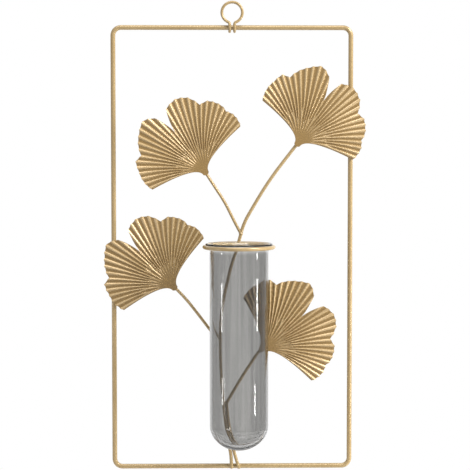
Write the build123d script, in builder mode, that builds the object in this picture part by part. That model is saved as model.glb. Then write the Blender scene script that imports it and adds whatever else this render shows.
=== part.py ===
"""Hanging wall vase: a bent-wire frame with a spray of stamped fan leaves and a glass tube.

Millimetres, +Z up, +X to the viewer's right, -Y towards the viewer. The origin is the centre
of the hanging eye, where the nail goes.
"""

import os
from math import atan, cos, degrees, radians, sin, sqrt, tan

from build123d import *

# Frame: one round wire bent to a rounded rectangle, measured on its centre line
FRAME_WIDTH = 165.0
FRAME_HEIGHT = 307.0
FRAME_WIRE = 3.4
FRAME_BEND = 5.5

# Hanging eye: a wire loop whose two tails hook round the top bar
EYE_WIRE = 2.0
EYE_RADIUS = 7.1
EYE_DROP = 10.2
EYE_PLAY = 0.1
TAIL_SPACING = 3.4
NECK_BEND = 1.8
HOOK_TURN = 250.0

# Wires of the spray
STEM_WIRE = 2.4
SIDE_WIRE = 2.1
FOOT_WIRE = 2.3
WIRE_GAP = 0.05
WIRE_SPACING = 0.1
BEND_SHARE = 0.45
FOOT_OVERHANG = 1.0
TAB_LAP = 4.0

# Stamped leaves
LEAF_LENGTH = 55.0
LEAF_SHEET = 0.8
LEAF_GAP = 0.35
TAB_WIDTH = 4.4
TAB_DROP = 2.0
TAB_SAG = 1.2
SHOULDER_RISE = 6.5
MARGIN_BULGE = 0.05
RIB_COUNT = 29
RIB_FAN_ANGLE = 128.0
LONG_RIB_START = 11.0
SHORT_RIB_START = 17.0
RIB_WIDTH = 1.2
RIB_HEIGHT = 0.6
RIB_INSET = 0.4
RIB_ROOT = 0.2

# Vase ring and glass tube
RING_RADIUS = 23.5
RING_WIRE = 2.7
RING_ACROSS = 4.2
RING_RISE = 156.6
RING_STANDOFF = 0.5
TUBE_DIAMETER = 40.0
TUBE_WALL = 1.3
TUBE_LENGTH = 142.0
TUBE_END_DEPTH = 17.5
TUBE_FLOOR = 2.4
SEAT_CLEARANCE = 0.3
SEAT_SLOPE = 55.0

# Braze and solder
BRAZE_BUILDUP = 0.3
RING_PEG_RADIUS = 1.0
PAD_RADIUS = 1.9
TACK_RADIUS = 2.2
TACK_GAP = 0.15

# Planes that the pieces share
bar_y = FRAME_WIRE / 2 + EYE_PLAY + EYE_WIRE / 2
bar_front = bar_y - FRAME_WIRE / 2
top_z = -EYE_DROP
bottom_z = top_z - FRAME_HEIGHT
half_width = FRAME_WIDTH / 2
stem_y = bar_front - WIRE_GAP - STEM_WIRE / 2

# Bases of the leaves, across and up from the middle of the bottom bar. The two leaves that
# lie on a side bar are placed from that bar.
UPPER_RIGHT_INSET = 36.5
LOWER_LEFT_INSET = 41.5
upper_left_base = (-19.2, 207.8)
upper_right_base = (half_width - UPPER_RIGHT_INSET, 227.6)
lower_left_base = (LOWER_LEFT_INSET - half_width, 127.6)
lower_right_base = (23.0, 84.0)
UPPER_RIGHT_TACK_RISE = 8.0
LOWER_LEFT_TACK_RISE = 16.0

# Turn of each leaf's axis in the front view, positive to the left, and the swing about Z that
# sets back the right side of the two free leaves
UPPER_LEFT_TURN = 34.0
UPPER_RIGHT_TURN = -34.4
LOWER_LEFT_TURN = 40.5
LOWER_RIGHT_TURN = -52.2
UPPER_LEFT_SWING = 4.5
LOWER_RIGHT_SWING = 1.5

# Margin of a leaf, from its left tip to its right tip: angle from the leaf's axis, and
# distance from its base as a share of the leaf's length
LEAF_MARGIN = [
    (75.5, 0.70), (66, 0.78), (57, 0.825), (48, 0.875), (42.5, 0.82), (36, 0.885),
    (27, 0.945), (17, 1.0), (9.5, 0.915), (3.3, 0.60), (-2.2, 0.92), (-12, 0.975),
    (-21, 0.945), (-30, 0.835), (-36.5, 0.885), (-48, 0.855), (-54, 0.80), (-61, 0.80),
    (-67, 0.77), (-73, 0.725),
]


def spray_point(place, y=stem_y):
    """Point of the spray, from its place across and up from the middle of the bottom bar."""
    return Vector(place[0], y, bottom_z + place[1])


def between(start, end, share):
    """Place on the straight run from one place to another."""
    return tuple(a + (b - a) * share for a, b in zip(start, end))


def behind_tab(before, base):
    """Place where a wire ends behind a leaf's tab, straight on from its last run."""
    run = Vector(*base) - Vector(*before)
    end = Vector(*base) + run.normalized() * TAB_LAP
    return (end.X, end.Y)


def bent_wire(places, diameter):
    """Round wire along straight runs that are joined by arcs as wide as the runs allow."""
    points = [spray_point(place) for place in places]
    radii = []
    for before, corner, after in zip(points, points[1:], points[2:]):
        run_in = corner - before
        run_out = after - corner
        half_turn = radians(run_in.get_angle(run_out)) / 2
        radii.append(BEND_SHARE * min(run_in.length, run_out.length) / tan(half_turn))
    with BuildPart() as wire:
        with BuildLine() as route:
            FilletPolyline(*points, radius=radii)
        with BuildSketch(Plane(origin=route.line @ 0, z_dir=route.line % 0)):
            Circle(diameter / 2)
        sweep()
    return wire.part


def peg(place, radius, front_y, back_y):
    """Short round peg from front to back at a place on the spray, the blank of a braze."""
    with BuildPart() as blank:
        with BuildSketch(Plane(origin=spray_point(place, front_y), z_dir=(0, 1, 0))):
            Circle(radius)
        extrude(amount=back_y - front_y)
    return blank.part


def leaf_outline(length):
    """Flat outline of a leaf whose axis is +Y and whose base is the origin."""
    margin = [
        Vector(-share * length * sin(radians(angle)), share * length * cos(radians(angle)))
        for angle, share in LEAF_MARGIN
    ]
    tab_left = (-TAB_WIDTH / 2, -TAB_DROP)
    tab_right = (TAB_WIDTH / 2, -TAB_DROP)
    with BuildSketch() as outline:
        with BuildLine():
            for start, end in zip(margin, margin[1:]):
                SagittaArc(start, end, MARGIN_BULGE * (end - start).length)
            Bezier(margin[-1], (TAB_WIDTH / 2, SHOULDER_RISE), tab_right)
            SagittaArc(tab_right, tab_left, TAB_SAG)
            Bezier(tab_left, (-TAB_WIDTH / 2, SHOULDER_RISE), margin[0])
        make_face()
    return outline.sketch


def rib_start(angle, distance):
    """Plane square to a rib at a distance from the leaf's base, a little inside the sheet."""
    along = Vector(-sin(radians(angle)), cos(radians(angle)), 0)
    across = Vector(-along.Y, along.X, 0)
    foot = along * distance + Vector(0, 0, LEAF_SHEET - RIB_ROOT)
    return Plane(origin=foot, x_dir=across, z_dir=along)


def leaf_plane(base, turn, swing, wire):
    """Plane of a leaf's back: its base in front of its wire, turned in the view, swung about Z."""
    lean = cos(radians(turn))
    across = (lean * cos(radians(swing)), lean * sin(radians(swing)), sin(radians(turn)))
    facing = (sin(radians(swing)), -cos(radians(swing)), 0)
    back_y = stem_y - wire / 2 - LEAF_GAP
    return Plane(origin=spray_point(base, back_y), x_dir=across, z_dir=facing)


def swing_to_bar(inset, wire):
    """Swing that brings a leaf's back onto the side bar at a distance from its base."""
    back_y = stem_y - wire / 2 - LEAF_GAP
    return degrees(atan((bar_front - TACK_GAP - back_y) / inset))


def write(piece, name):
    """Label a finished piece and write it."""
    piece.part.label = name
    export_step(piece.part, f"parts/{name}.step")


os.makedirs("parts", exist_ok=True)

# Frame
with BuildPart() as frame_wire:
    with BuildLine(Plane.XZ.offset(-bar_y)) as loop:
        FilletPolyline(
            (half_width, top_z), (half_width, bottom_z),
            (-half_width, bottom_z), (-half_width, top_z),
            radius=FRAME_BEND, close=True,
        )
    with BuildSketch(Plane(origin=loop.line @ 0, z_dir=loop.line % 0)):
        Circle(FRAME_WIRE / 2)
    sweep()
write(frame_wire, "frame_wire")

# Hanging eye: half of its wire runs from the top of the loop to the end of a hook
tail_x = TAIL_SPACING / 2
neck_x = tail_x + NECK_BEND
neck_z = -sqrt((EYE_RADIUS + NECK_BEND) ** 2 - neck_x ** 2)
meet = Vector(neck_x, 0, neck_z) * (EYE_RADIUS / (EYE_RADIUS + NECK_BEND))
neck_middle = (Vector(-1, 0, 0) + (meet - Vector(neck_x, 0, neck_z)).normalized()).normalized()


def hook_point(turn):
    """Point of the right hook, at an angle round the top bar from its front."""
    return Vector(tail_x, bar_y * (1 - cos(radians(turn))), top_z - bar_y * sin(radians(turn)))


with BuildPart() as hanging_ring:
    with BuildLine() as eye:
        ThreePointArc((0, 0, EYE_RADIUS), (EYE_RADIUS, 0, 0), meet)
        ThreePointArc(meet, Vector(neck_x, 0, neck_z) + neck_middle * NECK_BEND, (tail_x, 0, neck_z))
        Line((tail_x, 0, neck_z), (tail_x, 0, top_z))
        ThreePointArc(hook_point(0), hook_point(HOOK_TURN / 4), hook_point(HOOK_TURN / 2))
        ThreePointArc(hook_point(HOOK_TURN / 2), hook_point(HOOK_TURN * 0.75), hook_point(HOOK_TURN))
    with BuildSketch(Plane(origin=(0, 0, EYE_RADIUS), z_dir=(1, 0, 0))):
        Circle(EYE_WIRE / 2)
    sweep()
    mirror(about=Plane.YZ)
write(hanging_ring, "hanging_ring")

# Routes of the spray's wires, across and up from the middle of the bottom bar
STEM_ROUTE = [
    (-0.4, -FOOT_OVERHANG), (-0.8, 9.0), (-5.2, 29.0), (-8.2, 56.0), (-9.7, 78.0), (-9.6, 102.0),
    (-7.0, 118.0), (-1.3, 141.0), (RING_ACROSS, RING_RISE), (8.0, 171.5), (25.0, 200.5),
]
upper_fork = between(STEM_ROUTE[8], STEM_ROUTE[9], 0.5)
middle_fork = between(STEM_ROUTE[4], STEM_ROUTE[5], 0.5)
lower_fork = between(STEM_ROUTE[2], STEM_ROUTE[3], 0.6)
beside_stem = (STEM_WIRE + FOOT_WIRE) / 2 + WIRE_SPACING
foot_places = [
    (place[0] + beside_stem, place[1]) for place in (STEM_ROUTE[1], STEM_ROUTE[2], lower_fork)
]
stem_route = STEM_ROUTE + [behind_tab(STEM_ROUTE[-1], upper_right_base)]
UPPER_LEFT_ROUTE = [upper_fork, (1.6, 172.5), (-5.0, 186.0), (-12.5, 197.5)]
upper_left_route = UPPER_LEFT_ROUTE + [behind_tab(UPPER_LEFT_ROUTE[-1], upper_left_base)]
LOWER_LEFT_ROUTE = [middle_fork, (-15.2, 96.5), (-24.0, 108.2), (-32.5, 119.0)]
lower_left_route = LOWER_LEFT_ROUTE + [behind_tab(LOWER_LEFT_ROUTE[-1], lower_left_base)]
LOWER_RIGHT_FOOT = (4.8, -FOOT_OVERHANG)
fork_exit = (foot_places[-1][0] + 1.2, foot_places[-1][1] + 2.0)
LOWER_RIGHT_ROUTE = [LOWER_RIGHT_FOOT, *foot_places, fork_exit, (8.3, 66.0), (18.6, 80.2)]
lower_right_route = LOWER_RIGHT_ROUTE + [behind_tab(LOWER_RIGHT_ROUTE[-1], lower_right_base)]

with BuildPart() as main_stem:
    add(bent_wire(stem_route, STEM_WIRE))
write(main_stem, "main_stem")

with BuildPart() as upper_left_wire:
    add(bent_wire(upper_left_route, SIDE_WIRE))
    add(main_stem.part, mode=Mode.SUBTRACT)
write(upper_left_wire, "upper_left_wire")

with BuildPart() as lower_left_wire:
    add(bent_wire(lower_left_route, SIDE_WIRE))
    add(main_stem.part, mode=Mode.SUBTRACT)
write(lower_left_wire, "lower_left_wire")

with BuildPart() as lower_right_wire:
    add(bent_wire(lower_right_route, FOOT_WIRE))
write(lower_right_wire, "lower_right_wire")

# Leaves: one stamping, placed four times
with BuildPart() as leaf_ribs:
    for rib in range(RIB_COUNT):
        rib_angle = RIB_FAN_ANGLE * (0.5 - rib / (RIB_COUNT - 1))
        start = LONG_RIB_START if rib % 2 else SHORT_RIB_START
        with BuildSketch(rib_start(rib_angle, start)):
            Polygon(
                (-RIB_WIDTH / 2, 0), (RIB_WIDTH / 2, 0), (0, RIB_ROOT + RIB_HEIGHT), align=None
            )
        extrude(amount=LEAF_LENGTH - start)
    extrude(leaf_outline(LEAF_LENGTH - RIB_INSET), LEAF_SHEET + 2 * RIB_HEIGHT, mode=Mode.INTERSECT)

with BuildPart() as stamping:
    extrude(leaf_outline(LEAF_LENGTH), LEAF_SHEET)
    add(leaf_ribs.part)

upper_right_swing = swing_to_bar(UPPER_RIGHT_INSET, STEM_WIRE)
lower_left_swing = -swing_to_bar(LOWER_LEFT_INSET, SIDE_WIRE)
LEAF_PLANES = {
    "leaf_upper_left": leaf_plane(upper_left_base, UPPER_LEFT_TURN, UPPER_LEFT_SWING, SIDE_WIRE),
    "leaf_upper_right": leaf_plane(upper_right_base, UPPER_RIGHT_TURN, upper_right_swing, STEM_WIRE),
    "leaf_lower_left": leaf_plane(lower_left_base, LOWER_LEFT_TURN, lower_left_swing, SIDE_WIRE),
    "leaf_lower_right": leaf_plane(lower_right_base, LOWER_RIGHT_TURN, LOWER_RIGHT_SWING, FOOT_WIRE),
}
leaves = {}
for leaf_name, plane in LEAF_PLANES.items():
    with BuildPart() as leaf:
        add(plane.location * stamping.part)
    write(leaf, leaf_name)
    leaves[leaf_name] = leaf.part

# Vase ring, square to the stem's front
ring_y = stem_y - STEM_WIRE / 2 - RING_STANDOFF - RING_WIRE / 2 - RING_RADIUS
ring_centre = spray_point((RING_ACROSS, RING_RISE), ring_y)
ring_axis = Axis(ring_centre, (0, 0, 1))
section_plane = Plane(origin=ring_centre, x_dir=(1, 0, 0), z_dir=(0, -1, 0))
with BuildPart() as vase_ring:
    with BuildSketch(section_plane):
        with Locations((RING_RADIUS, 0)):
            Circle(RING_WIRE / 2)
    revolve(axis=ring_axis)
write(vase_ring, "vase_ring")

# Glass tube: a flared lip that seats on the ring, a straight wall and a rounded end.
# Distances are from the tube's axis and heights from the ring's middle.
tube_radius = TUBE_DIAMETER / 2
bore_radius = tube_radius - TUBE_WALL
seat_radius = RING_WIRE / 2 + SEAT_CLEARANCE
slope = radians(SEAT_SLOPE)
seat_start = RING_RADIUS - seat_radius * cos(slope)
flare_radius = (seat_start - tube_radius) / (1 - cos(slope))
flare_z = (seat_radius - flare_radius) * sin(slope)
flare_x = tube_radius + flare_radius


def flare_point(angle, offset):
    """Point of the flare, at a distance inside the tube's outer face."""
    reach = flare_radius + offset
    return (flare_x - reach * cos(angle), flare_z + reach * sin(angle))


rim = flare_point(slope, TUBE_WALL / 2)
rim_tip = (rim[0] + TUBE_WALL / 2 * sin(slope), rim[1] + TUBE_WALL / 2 * cos(slope))
end_z = rim[1] + TUBE_WALL / 2 - TUBE_LENGTH
straight_end_z = end_z + TUBE_END_DEPTH

with BuildPart() as glass_tube:
    with BuildSketch(section_plane):
        with BuildLine():
            Line((0, end_z), (0, end_z + TUBE_FLOOR))
            EllipticalCenterArc(
                (0, straight_end_z), bore_radius, TUBE_END_DEPTH - TUBE_FLOOR,
                start_angle=270, arc_size=90,
            )
            Line((bore_radius, straight_end_z), flare_point(0, TUBE_WALL))
            ThreePointArc(
                flare_point(0, TUBE_WALL),
                flare_point(slope / 2, TUBE_WALL),
                flare_point(slope, TUBE_WALL),
            )
            ThreePointArc(flare_point(slope, TUBE_WALL), rim_tip, flare_point(slope, 0))
            ThreePointArc(flare_point(slope, 0), flare_point(slope / 2, 0), flare_point(0, 0))
            Line(flare_point(0, 0), (tube_radius, straight_end_z))
            EllipticalCenterArc(
                (0, straight_end_z), tube_radius, TUBE_END_DEPTH,
                start_angle=270, arc_size=90,
            )
        make_face()
    revolve(axis=ring_axis)
write(glass_tube, "glass_tube")

# Braze at the three forks
FORKS = {
    "upper_fork_braze": (upper_fork, STEM_WIRE / 2 + BRAZE_BUILDUP, upper_left_wire),
    "middle_fork_braze": (middle_fork, STEM_WIRE / 2 + BRAZE_BUILDUP, lower_left_wire),
    "lower_fork_braze": (
        (lower_fork[0] + beside_stem / 2, lower_fork[1]), STEM_WIRE / 2 + BRAZE_BUILDUP, lower_right_wire
    ),
}
for fork_name, (place, radius, side_wire) in FORKS.items():
    with BuildPart() as bead:
        with Locations(spray_point(place)):
            Sphere(radius)
        add([main_stem.part, side_wire.part], mode=Mode.SUBTRACT)
    write(bead, fork_name)

# Braze between the ring and the stem
with BuildPart() as ring_braze:
    add(peg((RING_ACROSS, RING_RISE), RING_PEG_RADIUS, ring_y + RING_RADIUS, stem_y))
    add([vase_ring.part, main_stem.part], mode=Mode.SUBTRACT)
write(ring_braze, "ring_braze")

# Braze at the two feet
with BuildPart() as foot_braze:
    for foot in (STEM_ROUTE[0], LOWER_RIGHT_FOOT):
        add(peg((foot[0], 0), STEM_WIRE / 2 + BRAZE_BUILDUP, stem_y, bar_y))
    add([main_stem.part, lower_right_wire.part, frame_wire.part], mode=Mode.SUBTRACT)
write(foot_braze, "foot_braze")

# Solder between the leaves' tabs and their wires
TABS = [
    (upper_left_base, "leaf_upper_left", upper_left_wire, SIDE_WIRE),
    (upper_right_base, "leaf_upper_right", main_stem, STEM_WIRE),
    (lower_left_base, "leaf_lower_left", lower_left_wire, SIDE_WIRE),
    (lower_right_base, "leaf_lower_right", lower_right_wire, FOOT_WIRE),
]
with BuildPart() as leaf_solder:
    for base, leaf_name, wire, diameter in TABS:
        sheet_middle = stem_y - diameter / 2 - LEAF_GAP - LEAF_SHEET / 2
        add(peg(base, PAD_RADIUS, sheet_middle, stem_y))
    for base, leaf_name, wire, diameter in TABS:
        add([leaves[leaf_name], wire.part], mode=Mode.SUBTRACT)
write(leaf_solder, "leaf_solder")

# Tacks between two leaves and the side bars behind them
TACKS = {
    "right_bar_tack": ((half_width, upper_right_base[1] + UPPER_RIGHT_TACK_RISE), "leaf_upper_right"),
    "left_bar_tack": ((-half_width, lower_left_base[1] + LOWER_LEFT_TACK_RISE), "leaf_lower_left"),
}
for tack_name, (place, leaf_name) in TACKS.items():
    with BuildPart() as tack:
        add(peg(place, TACK_RADIUS, bar_front - TACK_GAP - LEAF_SHEET / 2, bar_y))
        add([frame_wire.part, leaves[leaf_name]], mode=Mode.SUBTRACT)
    write(tack, tack_name)
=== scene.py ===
"""Looks of the hanging wall vase: gold wire frame, stamped fan leaves and a smoky glass tube.

Metres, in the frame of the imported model: +Z up, -Y towards the viewer, origin in the hanging eye.
"""

import random
from math import atan, atan2, cos, pi, radians, sin

import bmesh
import bpy
from mathutils import Matrix, Vector


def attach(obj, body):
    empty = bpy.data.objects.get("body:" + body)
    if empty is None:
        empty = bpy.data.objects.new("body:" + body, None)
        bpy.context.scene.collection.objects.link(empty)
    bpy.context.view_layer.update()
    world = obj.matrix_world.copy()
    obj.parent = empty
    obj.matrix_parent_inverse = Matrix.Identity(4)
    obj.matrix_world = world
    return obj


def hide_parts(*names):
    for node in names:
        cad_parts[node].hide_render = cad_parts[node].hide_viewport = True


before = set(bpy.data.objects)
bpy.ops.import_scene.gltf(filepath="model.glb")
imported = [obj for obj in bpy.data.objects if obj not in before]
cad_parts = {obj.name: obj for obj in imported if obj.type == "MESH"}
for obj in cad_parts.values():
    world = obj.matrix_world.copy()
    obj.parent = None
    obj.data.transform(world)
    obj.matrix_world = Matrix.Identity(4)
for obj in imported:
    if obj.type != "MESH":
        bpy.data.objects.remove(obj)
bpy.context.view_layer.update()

MM = 0.001
SEED = 7

# Places that the leaves share with the solids, in millimetres
HALF_WIDTH = 82.5
BOTTOM_Z = -317.2
BAR_FRONT = 1.1
STEM_Y = -0.15
STEM_WIRE = 2.4
SIDE_WIRE = 2.1
FOOT_WIRE = 2.3
LEAF_GAP = 0.35
TACK_GAP = 0.15
UPPER_RIGHT_INSET = 36.5
LOWER_LEFT_INSET = 41.5

# Stamped leaf, in millimetres; its margin in degrees off the axis and shares of the length
LEAF_LENGTH = 55.0
LEAF_SHEET = 0.8
TAB_WIDTH = 4.4
TAB_DROP = 2.0
TAB_SAG = 1.2
SHOULDER_RISE = 6.5
LEAF_MARGIN = [
    (75.5, 0.70), (66, 0.78), (57, 0.825), (48, 0.875), (42.5, 0.82), (36, 0.885),
    (27, 0.945), (17, 1.0), (9.5, 0.915), (3.3, 0.60), (-2.2, 0.92), (-12, 0.975),
    (-21, 0.945), (-30, 0.835), (-36.5, 0.885), (-48, 0.855), (-54, 0.80), (-61, 0.80),
    (-67, 0.77), (-73, 0.725),
]
MARGIN_BULGE = 0.05
RIDGE_COUNT = 30
RIDGE_HEIGHT = 0.95
RIDGE_LOWEST = 0.8
RIDGE_BACK = 0.9
RIDGE_FLAT = 0.2
RIDGE_START = 4.5
RIDGE_FULL = 22.0
FORK_NEAR = 9.0
FORK_FAR = 19.0
FORK_LENGTH = 7.0
SCALLOP = 0.45
LOBE_CROWN = 0.5
COLUMN_STEP = 0.5
LEAF_ROWS = 56
SHARP_ANGLE = 60.0

# Vase ring and glass tube, in millimetres
RING_CENTRE = (4.2, -26.7, -160.6)
RING_RADIUS = 23.5
RING_WIRE = 2.7
TUBE_RADIUS = 20.0
TUBE_WALL = 1.3
TUBE_LENGTH = 142.0
TUBE_END_DEPTH = 17.5
TUBE_FLOOR = 2.4
SEAT_CLEARANCE = 0.3
SEAT_SLOPE = 55.0
TUBE_SEGMENTS = 128
END_STEPS = 20
WALL_STEPS = 12
FLARE_STEPS = 8
LIP_STEPS = 10
ON_AXIS = 1e-6

# Gold: clear coat, drifting tone and fine grain
COAT_WEIGHT = 0.3
COAT_ROUGHNESS = 0.18
TONE_REACH = (0.32, 0.68)
DRIFT_SCALE = 0.06
DRIFT_DETAIL = 4.0
GRAIN_DETAIL = 3.0
GRAIN_DEPTH = 0.0001
SHEEN_SPREAD = (-0.03, 0.04)

# Glass: tints along the streaks and at the edges, and a pale tint at the lip that paints its
# reflection and fades in below the ring
GLASS_IOR = 1.4
STREAK_STRETCH = (1.0, 1.0, 0.02)
STREAK_SCALE = 420.0
STREAK_DETAIL = 3.0
STREAK_TINTS = ((0.48, 0.477, 0.47), (0.64, 0.637, 0.625))
EDGE_BLEND = 0.3
EDGE_TINT = (0.16, 0.16, 0.16)
LIP_REFLECTION_TINT = (0.93, 0.93, 0.92)
LIP_REFLECTION_FADE = (-4.0, -1.0)

# Pale floor below the view
FLOOR_Z = -0.45
FLOOR_RADIUS = 0.5
FLOOR_SEGMENTS = 96
FLOOR_ROUGHNESS = 0.8
FLOOR_TONES = ((0.84, 0.84, 0.84), (0.88, 0.88, 0.88))
SPECKLE_SCALE = 40.0

# Light: what the lamps aim at, and the upright strips that stand round the tube's axis
WORLD_LIGHT = 0.28
MIDDLE = (0.0, 0.0, -0.16)
TUBE_AXIS = Vector((RING_CENTRE[0] * MM, RING_CENTRE[1] * MM, 0))
STRIP_REACH = 0.7
STRIP_WIDTH = 0.045

# Camera, as fitted to the photograph
CAMERA_AZIMUTH = 1.1
CAMERA_ELEVATION = 3.54
CAMERA_DISTANCE = 1.069
CAMERA_TARGET = Vector((0.002, 0.0, -0.154))
CAMERA_LENS = 117.5
CAMERA_SENSOR = 36.0

# Wires and beads that stay as the solids are
WIRES = (
    "hanging_ring", "frame_wire", "main_stem", "upper_left_wire", "lower_left_wire",
    "lower_right_wire", "vase_ring",
)
BEADS = (
    "upper_fork_braze", "middle_fork_braze", "lower_fork_braze", "ring_braze", "foot_braze",
    "leaf_solder", "right_bar_tack", "left_bar_tack",
)


def spread(low, high, steps):
    """Evenly spaced values from low to high, both included."""
    return [low + (high - low) * step / steps for step in range(steps + 1)]


def smooth_step(low, high, value):
    """0 below low, 1 above high, smooth between."""
    share = min(max((value - low) / (high - low), 0.0), 1.0)
    return share * share * (3 - 2 * share)


def add_object(name, data):
    """Object of some data, in the scene."""
    thing = bpy.data.objects.new(name, data)
    bpy.context.scene.collection.objects.link(thing)
    return thing


def smooth_mesh(name, shell):
    """Smooth mesh of a closed shell, with its faces turned outward."""
    bmesh.ops.recalc_face_normals(shell, faces=shell.faces)
    mesh = bpy.data.meshes.new(name)
    shell.to_mesh(mesh)
    shell.free()
    mesh.shade_smooth()
    return mesh


def add_piece(name, mesh, material, body, node):
    """Object of a finished mesh that rides on a body and stands for a CAD node."""
    mesh.materials.append(material)
    piece = add_object(name, mesh)
    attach(piece, body)
    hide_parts(node)


# Materials

def new_material(name):
    """Node material with its nodes, links and Principled shader."""
    material = bpy.data.materials.new(name)
    material.use_nodes = True
    nodes = material.node_tree.nodes
    return material, nodes, material.node_tree.links, nodes["Principled BSDF"]


def set_inputs(node, values):
    """Constants on a node's own sockets."""
    for socket, value in values.items():
        node.inputs[socket].default_value = value


def add_node(nodes, kind, values=None):
    """Shader node of a kind, with some of its inputs set."""
    node = nodes.new("ShaderNode" + kind)
    set_inputs(node, values or {})
    return node


def tone_ramp(nodes, deep, pale, reach):
    """Ramp from a deep to a pale colour between two places."""
    ramp = add_node(nodes, "ValToRGB")
    for element, position, colour in zip(ramp.color_ramp.elements, reach, (deep, pale)):
        element.position = position
        element.color = (*colour, 1)
    return ramp


def colour_mix(nodes, socket, colour):
    """Mix of two colours with one of them set."""
    mix = add_node(nodes, "Mix")
    mix.data_type = "RGBA"
    mix.inputs[socket].default_value = (*colour, 1)
    return mix


def join(links, *pairs):
    """Links, each from a node's output to a node's input."""
    for source, output, target, socket in pairs:
        links.new(source.outputs[output], target.inputs[socket])


def gold_finish(name, deep, pale, roughness, grain_scale, bump, metallic, painted_hollow_shade=None):
    """Satin gold: colour drifts between two tones, with fine grain in roughness and height.

    A darker hollow colour is painted shade between the ribs, fading out up the ridges.
    """
    material, nodes, links, shader = new_material(name)
    set_inputs(shader, {
        "Metallic": metallic, "Coat Weight": COAT_WEIGHT, "Coat Roughness": COAT_ROUGHNESS,
    })
    place = add_node(nodes, "TexCoord")
    drift = add_node(nodes, "TexNoise", {
        "Scale": grain_scale * DRIFT_SCALE, "Detail": DRIFT_DETAIL,
    })
    grain = add_node(nodes, "TexNoise", {"Scale": grain_scale, "Detail": GRAIN_DETAIL})
    tones = tone_ramp(nodes, deep, pale, TONE_REACH)
    sheen = add_node(nodes, "MapRange", {
        "To Min": roughness + SHEEN_SPREAD[0], "To Max": roughness + SHEEN_SPREAD[1],
    })
    relief = add_node(nodes, "Bump", {"Strength": bump, "Distance": GRAIN_DEPTH})
    join(
        links,
        (place, "Object", drift, "Vector"),
        (place, "Object", grain, "Vector"),
        (drift, "Fac", tones, "Fac"),
        (grain, "Fac", sheen, "Value"),
        (sheen, "Result", shader, "Roughness"),
        (grain, "Fac", relief, "Height"),
        (relief, "Normal", shader, "Normal"),
    )
    # Painted shade: between the ribs the base colour turns to the darker hollow colour, fading out
    # up the ridges.
    if painted_hollow_shade:
        shade_mask = add_node(nodes, "Attribute")
        shade_mask.attribute_name = "clear_of_painted_shade"
        painted_shade_mix = colour_mix(nodes, "A", painted_hollow_shade)
        join(
            links,
            (shade_mask, "Fac", painted_shade_mix, "Factor"),
            (tones, "Color", painted_shade_mix, "B"),
            (painted_shade_mix, "Result", shader, "Base Color"),
        )
    else:
        join(links, (tones, "Color", shader, "Base Color"))
    return material


def smoky_glass(name):
    """Grey drawn glass: faint streaks along the tube, dark edges and a paler lip that is a painted
    reflection.
    """
    material, nodes, links, shader = new_material(name)
    set_inputs(shader, {"Transmission Weight": 1.0, "Roughness": 0.0, "IOR": GLASS_IOR})
    place = add_node(nodes, "TexCoord")
    stretch = add_node(nodes, "Mapping", {"Scale": STREAK_STRETCH})
    streaks = add_node(nodes, "TexNoise", {"Scale": STREAK_SCALE, "Detail": STREAK_DETAIL})
    tint = tone_ramp(nodes, *STREAK_TINTS, TONE_REACH)
    edge = add_node(nodes, "LayerWeight", {"Blend": EDGE_BLEND})
    thick = colour_mix(nodes, "B", EDGE_TINT)
    height = add_node(nodes, "SeparateXYZ")
    # Painted reflection: the tint turns pale at the lip, fading in below the ring.
    lip = add_node(nodes, "MapRange", {
        "From Min": (RING_CENTRE[2] + LIP_REFLECTION_FADE[0]) * MM,
        "From Max": (RING_CENTRE[2] + LIP_REFLECTION_FADE[1]) * MM,
    })
    pale = colour_mix(nodes, "B", LIP_REFLECTION_TINT)
    join(
        links,
        (place, "Object", stretch, "Vector"),
        (stretch, "Vector", streaks, "Vector"),
        (streaks, "Fac", tint, "Fac"),
        (edge, "Facing", thick, "Factor"),
        (tint, "Color", thick, "A"),
        (place, "Object", height, "Vector"),
        (height, "Z", lip, "Value"),
        (lip, "Result", pale, "Factor"),
        (thick, "Result", pale, "A"),
        (pale, "Result", shader, "Base Color"),
    )
    return material


# Leaves

def margin_point(angle, share):
    """Corner of the margin of a leaf of unit length."""
    return Vector((-share * sin(radians(angle)), share * cos(radians(angle))))


def leaf_columns():
    """Points along the margin of a leaf of unit length, with its corners kept."""
    columns = []
    for corner, next_corner in zip(LEAF_MARGIN, LEAF_MARGIN[1:]):
        start, end = margin_point(*corner), margin_point(*next_corner)
        chord = end - start
        outward = Vector((-chord.y, chord.x)) * MARGIN_BULGE
        steps = max(2, round((corner[0] - next_corner[0]) / COLUMN_STEP))
        for step in range(steps):
            t = step / steps
            columns.append(start + chord * t + outward * 4 * t * (1 - t))
    return columns + [end]


def rib(share):
    """Round rib with a narrow flat on each side, over one pitch."""
    inner = (share % 1 - RIDGE_FLAT) / (1 - 2 * RIDGE_FLAT)
    return sin(pi * inner) if 0 < inner < 1 else 0.0


def ridge_height(ridge, reach, forks, heights):
    """Share of the full rib height at a place, in ridges across and millimetres from the base."""
    index = min(int(ridge), RIDGE_COUNT - 1)
    split = smooth_step(forks[index // 2], forks[index // 2] + FORK_LENGTH, reach)
    rise = smooth_step(RIDGE_START, RIDGE_FULL, reach)
    return heights[index] * rise * (rib(ridge / 2) * (1 - split) + rib(ridge) * split)


def close_sheet(sheet, fronts, backs):
    """Faces of a sheet between columns of front and back points, with its edges closed."""
    last = len(fronts) - 1
    for column in range(last):
        after = column + 1
        for row in range(LEAF_ROWS):
            sheet.faces.new((
                fronts[column][row], fronts[after][row],
                fronts[after][row + 1], fronts[column][row + 1],
            ))
            sheet.faces.new((
                backs[column][row], backs[column][row + 1],
                backs[after][row + 1], backs[after][row],
            ))
        for row, turned in ((0, True), (LEAF_ROWS, False)):
            corners = [
                fronts[column][row], fronts[after][row],
                backs[after][row], backs[column][row],
            ]
            sheet.faces.new(corners[::-1] if turned else corners)
    for column, turned in ((0, False), (last, True)):
        for row in range(LEAF_ROWS):
            corners = [
                fronts[column][row], fronts[column][row + 1],
                backs[column][row + 1], backs[column][row],
            ]
            sheet.faces.new(corners[::-1] if turned else corners)


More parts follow.
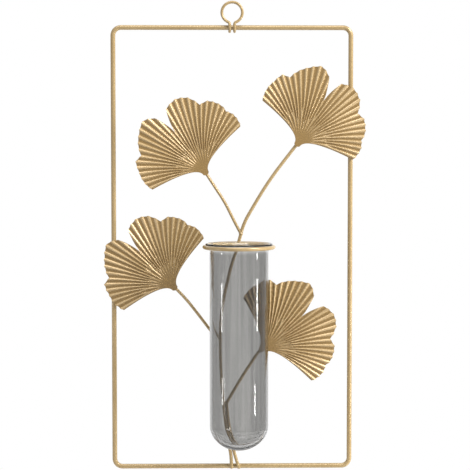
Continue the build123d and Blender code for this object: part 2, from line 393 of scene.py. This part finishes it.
def leaf_mesh(name, place):
    """Stamped sheet: pleats run from the tab to the margin on both faces."""
    forks = [random.uniform(FORK_NEAR, FORK_FAR) for _ in range(RIDGE_COUNT // 2 + 1)]
    heights = [random.uniform(RIDGE_LOWEST, 1.0) for _ in range(RIDGE_COUNT)]
    left, right = LEAF_MARGIN[0][0], LEAF_MARGIN[-1][0]
    sheet = bmesh.new()
    # Per vertex share of the rib height, 0 in the hollows, masks the painted shade between the
    # ribs.
    clear_of_painted_shade = sheet.verts.layers.float.new("clear_of_painted_shade")
    fronts, backs = [], []
    for rim in leaf_columns():
        angle = atan2(-rim.x, rim.y) * 180 / pi
        across = 1 - 2 * (angle - right) / (left - right)
        ridge = (across + 1) / 2 * RIDGE_COUNT
        tip = rim * (LEAF_LENGTH + SCALLOP * (rib(ridge) - 0.5))
        bend = Vector((across * TAB_WIDTH / 2, SHOULDER_RISE))
        root = Vector((across * TAB_WIDTH / 2, -TAB_DROP - TAB_SAG * (1 - across ** 2)))
        lobe = abs(sin(pi * across))
        front, back = [], []
        for row in range(LEAF_ROWS + 1):
            t = row / LEAF_ROWS
            spot = root * (1 - t) ** 2 + bend * 2 * t * (1 - t) + tip * t ** 2
            reach = spot.length
            raised = ridge_height(ridge, reach, forks, heights)
            lift = RIDGE_HEIGHT * raised
            crown = LOBE_CROWN * lobe * sin(pi * min(reach / LEAF_LENGTH, 1)) ** 2
            front_height, back_height = LEAF_SHEET + lift + crown, lift * RIDGE_BACK + crown
            for side, height in ((front, front_height), (back, back_height)):
                vertex = sheet.verts.new(place @ (Vector((spot.x, spot.y, height)) * MM))
                vertex[clear_of_painted_shade] = raised
                side.append(vertex)
        fronts.append(front)
        backs.append(back)
    close_sheet(sheet, fronts, backs)
    mesh = smooth_mesh(name, sheet)
    mesh.set_sharp_from_angle(angle=radians(SHARP_ANGLE))
    return mesh


def leaf_back(wire):
    """Y of a leaf's back, in front of its wire."""
    return STEM_Y - wire / 2 - LEAF_GAP


def leaf_place(base, turn, swing, wire):
    """Matrix of a leaf's back: its base in front of its wire, turned in the view, swung about Z."""
    lean = cos(radians(turn))
    across = Vector((lean * cos(radians(swing)), lean * sin(radians(swing)), sin(radians(turn))))
    facing = Vector((sin(radians(swing)), -cos(radians(swing)), 0))
    up = facing.cross(across)
    place = Matrix((across, up, facing)).transposed().to_4x4()
    place.translation = Vector((base[0], leaf_back(wire), BOTTOM_Z + base[1])) * MM
    return place


def swing_to_bar(inset, wire):
    """Swing that brings a leaf's back onto the side bar at a distance from its base."""
    return atan((BAR_FRONT - TACK_GAP - leaf_back(wire)) / inset) * 180 / pi


# Glass tube

def arc(centre, radius, start, end, steps):
    """Points of an arc in the tube's section, from one angle to another."""
    angles = spread(start, end, steps)
    return [(centre[0] + radius * cos(a), centre[1] + radius * sin(a)) for a in angles]


def tube_section():
    """Section of the tube from the outside of its end, round the lip, to the inside of its end."""
    seat = RING_WIRE / 2 + SEAT_CLEARANCE
    slope = radians(SEAT_SLOPE)
    flare = (RING_RADIUS - seat * cos(slope) - TUBE_RADIUS) / (1 - cos(slope))
    flare_centre = (TUBE_RADIUS + flare, (seat - flare) * sin(slope))
    rim_reach = flare + TUBE_WALL / 2
    rim = (flare_centre[0] - rim_reach * cos(slope), flare_centre[1] + rim_reach * sin(slope))
    end_z = rim[1] + TUBE_WALL / 2 - TUBE_LENGTH
    straight_z = end_z + TUBE_END_DEPTH
    bore = TUBE_RADIUS - TUBE_WALL
    turns = spread(0, pi / 2, END_STEPS)
    outside = [(TUBE_RADIUS * sin(a), straight_z - TUBE_END_DEPTH * cos(a)) for a in turns]
    inside_depth = TUBE_END_DEPTH - TUBE_FLOOR
    inside = [(bore * sin(a), straight_z - inside_depth * cos(a)) for a in turns]
    wall_heights = spread(straight_z, flare_centre[1], WALL_STEPS)[1:-1]
    wall = [(TUBE_RADIUS, z) for z in wall_heights]
    inner_wall = [(bore, z) for z in wall_heights]
    rising = arc(flare_centre, flare, pi, pi - slope, FLARE_STEPS)
    lip = arc(rim, TUBE_WALL / 2, -slope, pi - slope, LIP_STEPS)
    falling = arc(flare_centre, flare + TUBE_WALL, pi - slope, pi, FLARE_STEPS)
    return outside + wall + rising + lip[1:] + falling[1:] + inner_wall[::-1] + inside[::-1]


def lathe_mesh(name, profile, centre, segments):
    """Closed round shell from a section whose two ends are on the axis."""
    shell = bmesh.new()
    turns = spread(0, 2 * pi, segments)[:-1]
    rings = []
    for radius, z in profile:
        around = [(radius * cos(a), radius * sin(a)) for a in turns]
        spots = [(0, 0)] if radius < ON_AXIS else around
        rings.append([
            shell.verts.new(Vector((centre[0] + x, centre[1] + y, centre[2] + z)) * MM)
            for x, y in spots
        ])
    for lower, upper in zip(rings, rings[1:]):
        for step in range(segments):
            after = (step + 1) % segments
            low = lower if len(lower) == 1 else [lower[step], lower[after]]
            high = upper if len(upper) == 1 else [upper[after], upper[step]]
            shell.faces.new(low + high)
    return smooth_mesh(name, shell)


# Stage, light and camera

def pale_floor():
    """Plain pale floor, below the view."""
    disc = bmesh.new()
    bmesh.ops.create_circle(disc, cap_ends=True, radius=FLOOR_RADIUS, segments=FLOOR_SEGMENTS)
    bmesh.ops.translate(disc, verts=disc.verts, vec=(0, 0, FLOOR_Z))
    mesh = bpy.data.meshes.new("floor")
    disc.to_mesh(mesh)
    disc.free()
    material, nodes, links, shader = new_material("floor_pale")
    set_inputs(shader, {"Roughness": FLOOR_ROUGHNESS})
    speckle = add_node(nodes, "TexNoise", {"Scale": SPECKLE_SCALE})
    tones = tone_ramp(nodes, *FLOOR_TONES, (0.0, 1.0))
    join(
        links,
        (speckle, "Fac", tones, "Fac"),
        (tones, "Color", shader, "Base Color"),
    )
    mesh.materials.append(material)
    floor = add_object("floor", mesh)


def white_world(level):
    """White where it is seen, directly or in metal and glass, and softer as light."""
    world = bpy.data.worlds.new("studio")
    bpy.context.scene.world = world
    world.use_nodes = True
    nodes, links = world.node_tree.nodes, world.node_tree.links
    background = nodes["Background"]
    set_inputs(background, {"Color": (1, 1, 1, 1)})
    rays = add_node(nodes, "LightPath")
    camera_or_glossy = add_node(nodes, "Math")
    camera_or_glossy.operation = "MAXIMUM"
    seen = add_node(nodes, "Math")
    seen.operation = "MAXIMUM"
    strength = add_node(nodes, "MapRange", {"To Min": level, "To Max": 1.0})
    join(
        links,
        (rays, "Is Camera Ray", camera_or_glossy, 0),
        (rays, "Is Glossy Ray", camera_or_glossy, 1),
        (camera_or_glossy, 0, seen, 0),
        (rays, "Is Transmission Ray", seen, 1),
        (seen, 0, strength, "Value"),
        (strength, "Result", background, "Strength"),
    )


def soft_light(name, place, size, power, aim=MIDDLE, shows=True):
    """Rectangular lamp aimed at a point, which may show in gloss and glass."""
    lamp = bpy.data.lights.new(name, "AREA")
    lamp.shape = "RECTANGLE"
    lamp.size, lamp.size_y = size
    lamp.energy = power
    light = add_object(name, lamp)
    light.location = place
    light.rotation_mode = "QUATERNION"
    light.rotation_quaternion = (Vector(aim) - Vector(place)).to_track_quat("-Z", "Y")
    light.visible_camera = False
    light.visible_glossy = shows
    light.visible_transmission = shows


def strip_light(name, turn, middle_z, height, power):
    """Narrow upright lamp, turned from the camera's side, that shows as a line on the glass."""
    away = Vector((sin(radians(turn)), -cos(radians(turn)), 0)) * STRIP_REACH
    level = Vector((0, 0, middle_z))
    soft_light(name, TUBE_AXIS + away + level, (STRIP_WIDTH, height), power, TUBE_AXIS + level)


def fitted_camera():
    """Camera that looks at the part as the photograph does."""
    settings = bpy.data.cameras.new("camera")
    settings.sensor_width = CAMERA_SENSOR
    settings.lens = CAMERA_LENS
    camera = add_object("camera", settings)
    azimuth, elevation = radians(CAMERA_AZIMUTH), radians(CAMERA_ELEVATION)
    look = Vector((sin(azimuth) * cos(elevation), cos(azimuth) * cos(elevation), -sin(elevation)))
    camera.location = CAMERA_TARGET - look * CAMERA_DISTANCE
    camera.rotation_mode = "QUATERNION"
    camera.rotation_quaternion = look.to_track_quat("-Z", "Y")
    bpy.context.scene.camera = camera


random.seed(SEED)

wire_gold = gold_finish(
    "wire_gold", deep=(0.38, 0.262, 0.114), pale=(0.425, 0.302, 0.14),
    roughness=0.22, grain_scale=900.0, bump=0.02, metallic=0.2,
)
# The leaves' darker hollow colour is painted shade between their ribs.
leaf_gold = gold_finish(
    "leaf_gold", deep=(0.51, 0.36, 0.175), pale=(0.62, 0.46, 0.25),
    roughness=0.27, grain_scale=700.0, bump=0.04, metallic=0.3, painted_hollow_shade=(0.27, 0.165, 0.052),
)
braze_gold = gold_finish(
    "braze_gold", deep=(0.37, 0.262, 0.118), pale=(0.44, 0.32, 0.16),
    roughness=0.28, grain_scale=1200.0, bump=0.06, metallic=0.2,
)
tube_glass = smoky_glass("tube_glass")

LEAVES = {
    "leaf_upper_left": leaf_place(
        base=(-19.2, 207.8), turn=34.0, swing=4.5, wire=SIDE_WIRE,
    ),
    "leaf_upper_right": leaf_place(
        base=(HALF_WIDTH - UPPER_RIGHT_INSET, 227.6), turn=-34.4,
        swing=swing_to_bar(UPPER_RIGHT_INSET, STEM_WIRE), wire=STEM_WIRE,
    ),
    "leaf_lower_left": leaf_place(
        base=(LOWER_LEFT_INSET - HALF_WIDTH, 127.6), turn=40.5,
        swing=-swing_to_bar(LOWER_LEFT_INSET, SIDE_WIRE), wire=SIDE_WIRE,
    ),
    "leaf_lower_right": leaf_place(
        base=(23.0, 84.0), turn=-52.2, swing=1.5, wire=FOOT_WIRE,
    ),
}
for leaf_name, place in LEAVES.items():
    stamped = leaf_mesh("stamped_" + leaf_name, place)
    add_piece("stamped_" + leaf_name, stamped, leaf_gold, "frame", leaf_name)

tube = lathe_mesh("drawn_tube", tube_section(), RING_CENTRE, TUBE_SEGMENTS)
add_piece("drawn_tube", tube, tube_glass, "vase", "glass_tube")

for names, material in ((WIRES, wire_gold), (BEADS, braze_gold)):
    for name in names:
        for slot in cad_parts[name].material_slots:
            slot.material = material

pale_floor()
white_world(WORLD_LIGHT)
soft_light("key", place=(0.95, -0.75, 0.70), size=(0.6, 0.6), power=20.0)
strip_light("right_strip_high", turn=74.0, middle_z=-0.272, height=0.06, power=0.4)
strip_light("right_strip_low", turn=64.0, middle_z=-0.38, height=0.035, power=0.2)
strip_light("left_strip_high", turn=-72.0, middle_z=-0.275, height=0.055, power=0.18)
strip_light("left_strip_low", turn=-70.0, middle_z=-0.37, height=0.03, power=0.08)
soft_light("side", place=(1.1, -0.15, -0.1), size=(0.5, 0.9), power=13.0, shows=False)
soft_light("overhead", place=(-0.1, -0.4, 0.95), size=(0.8, 0.5), power=7.0)
soft_light("back", place=(-0.2, 1.2, 0.3), size=(0.9, 0.9), power=9.0, shows=False)
fitted_camera()
bpy.context.scene.view_settings.view_transform = "Standard"
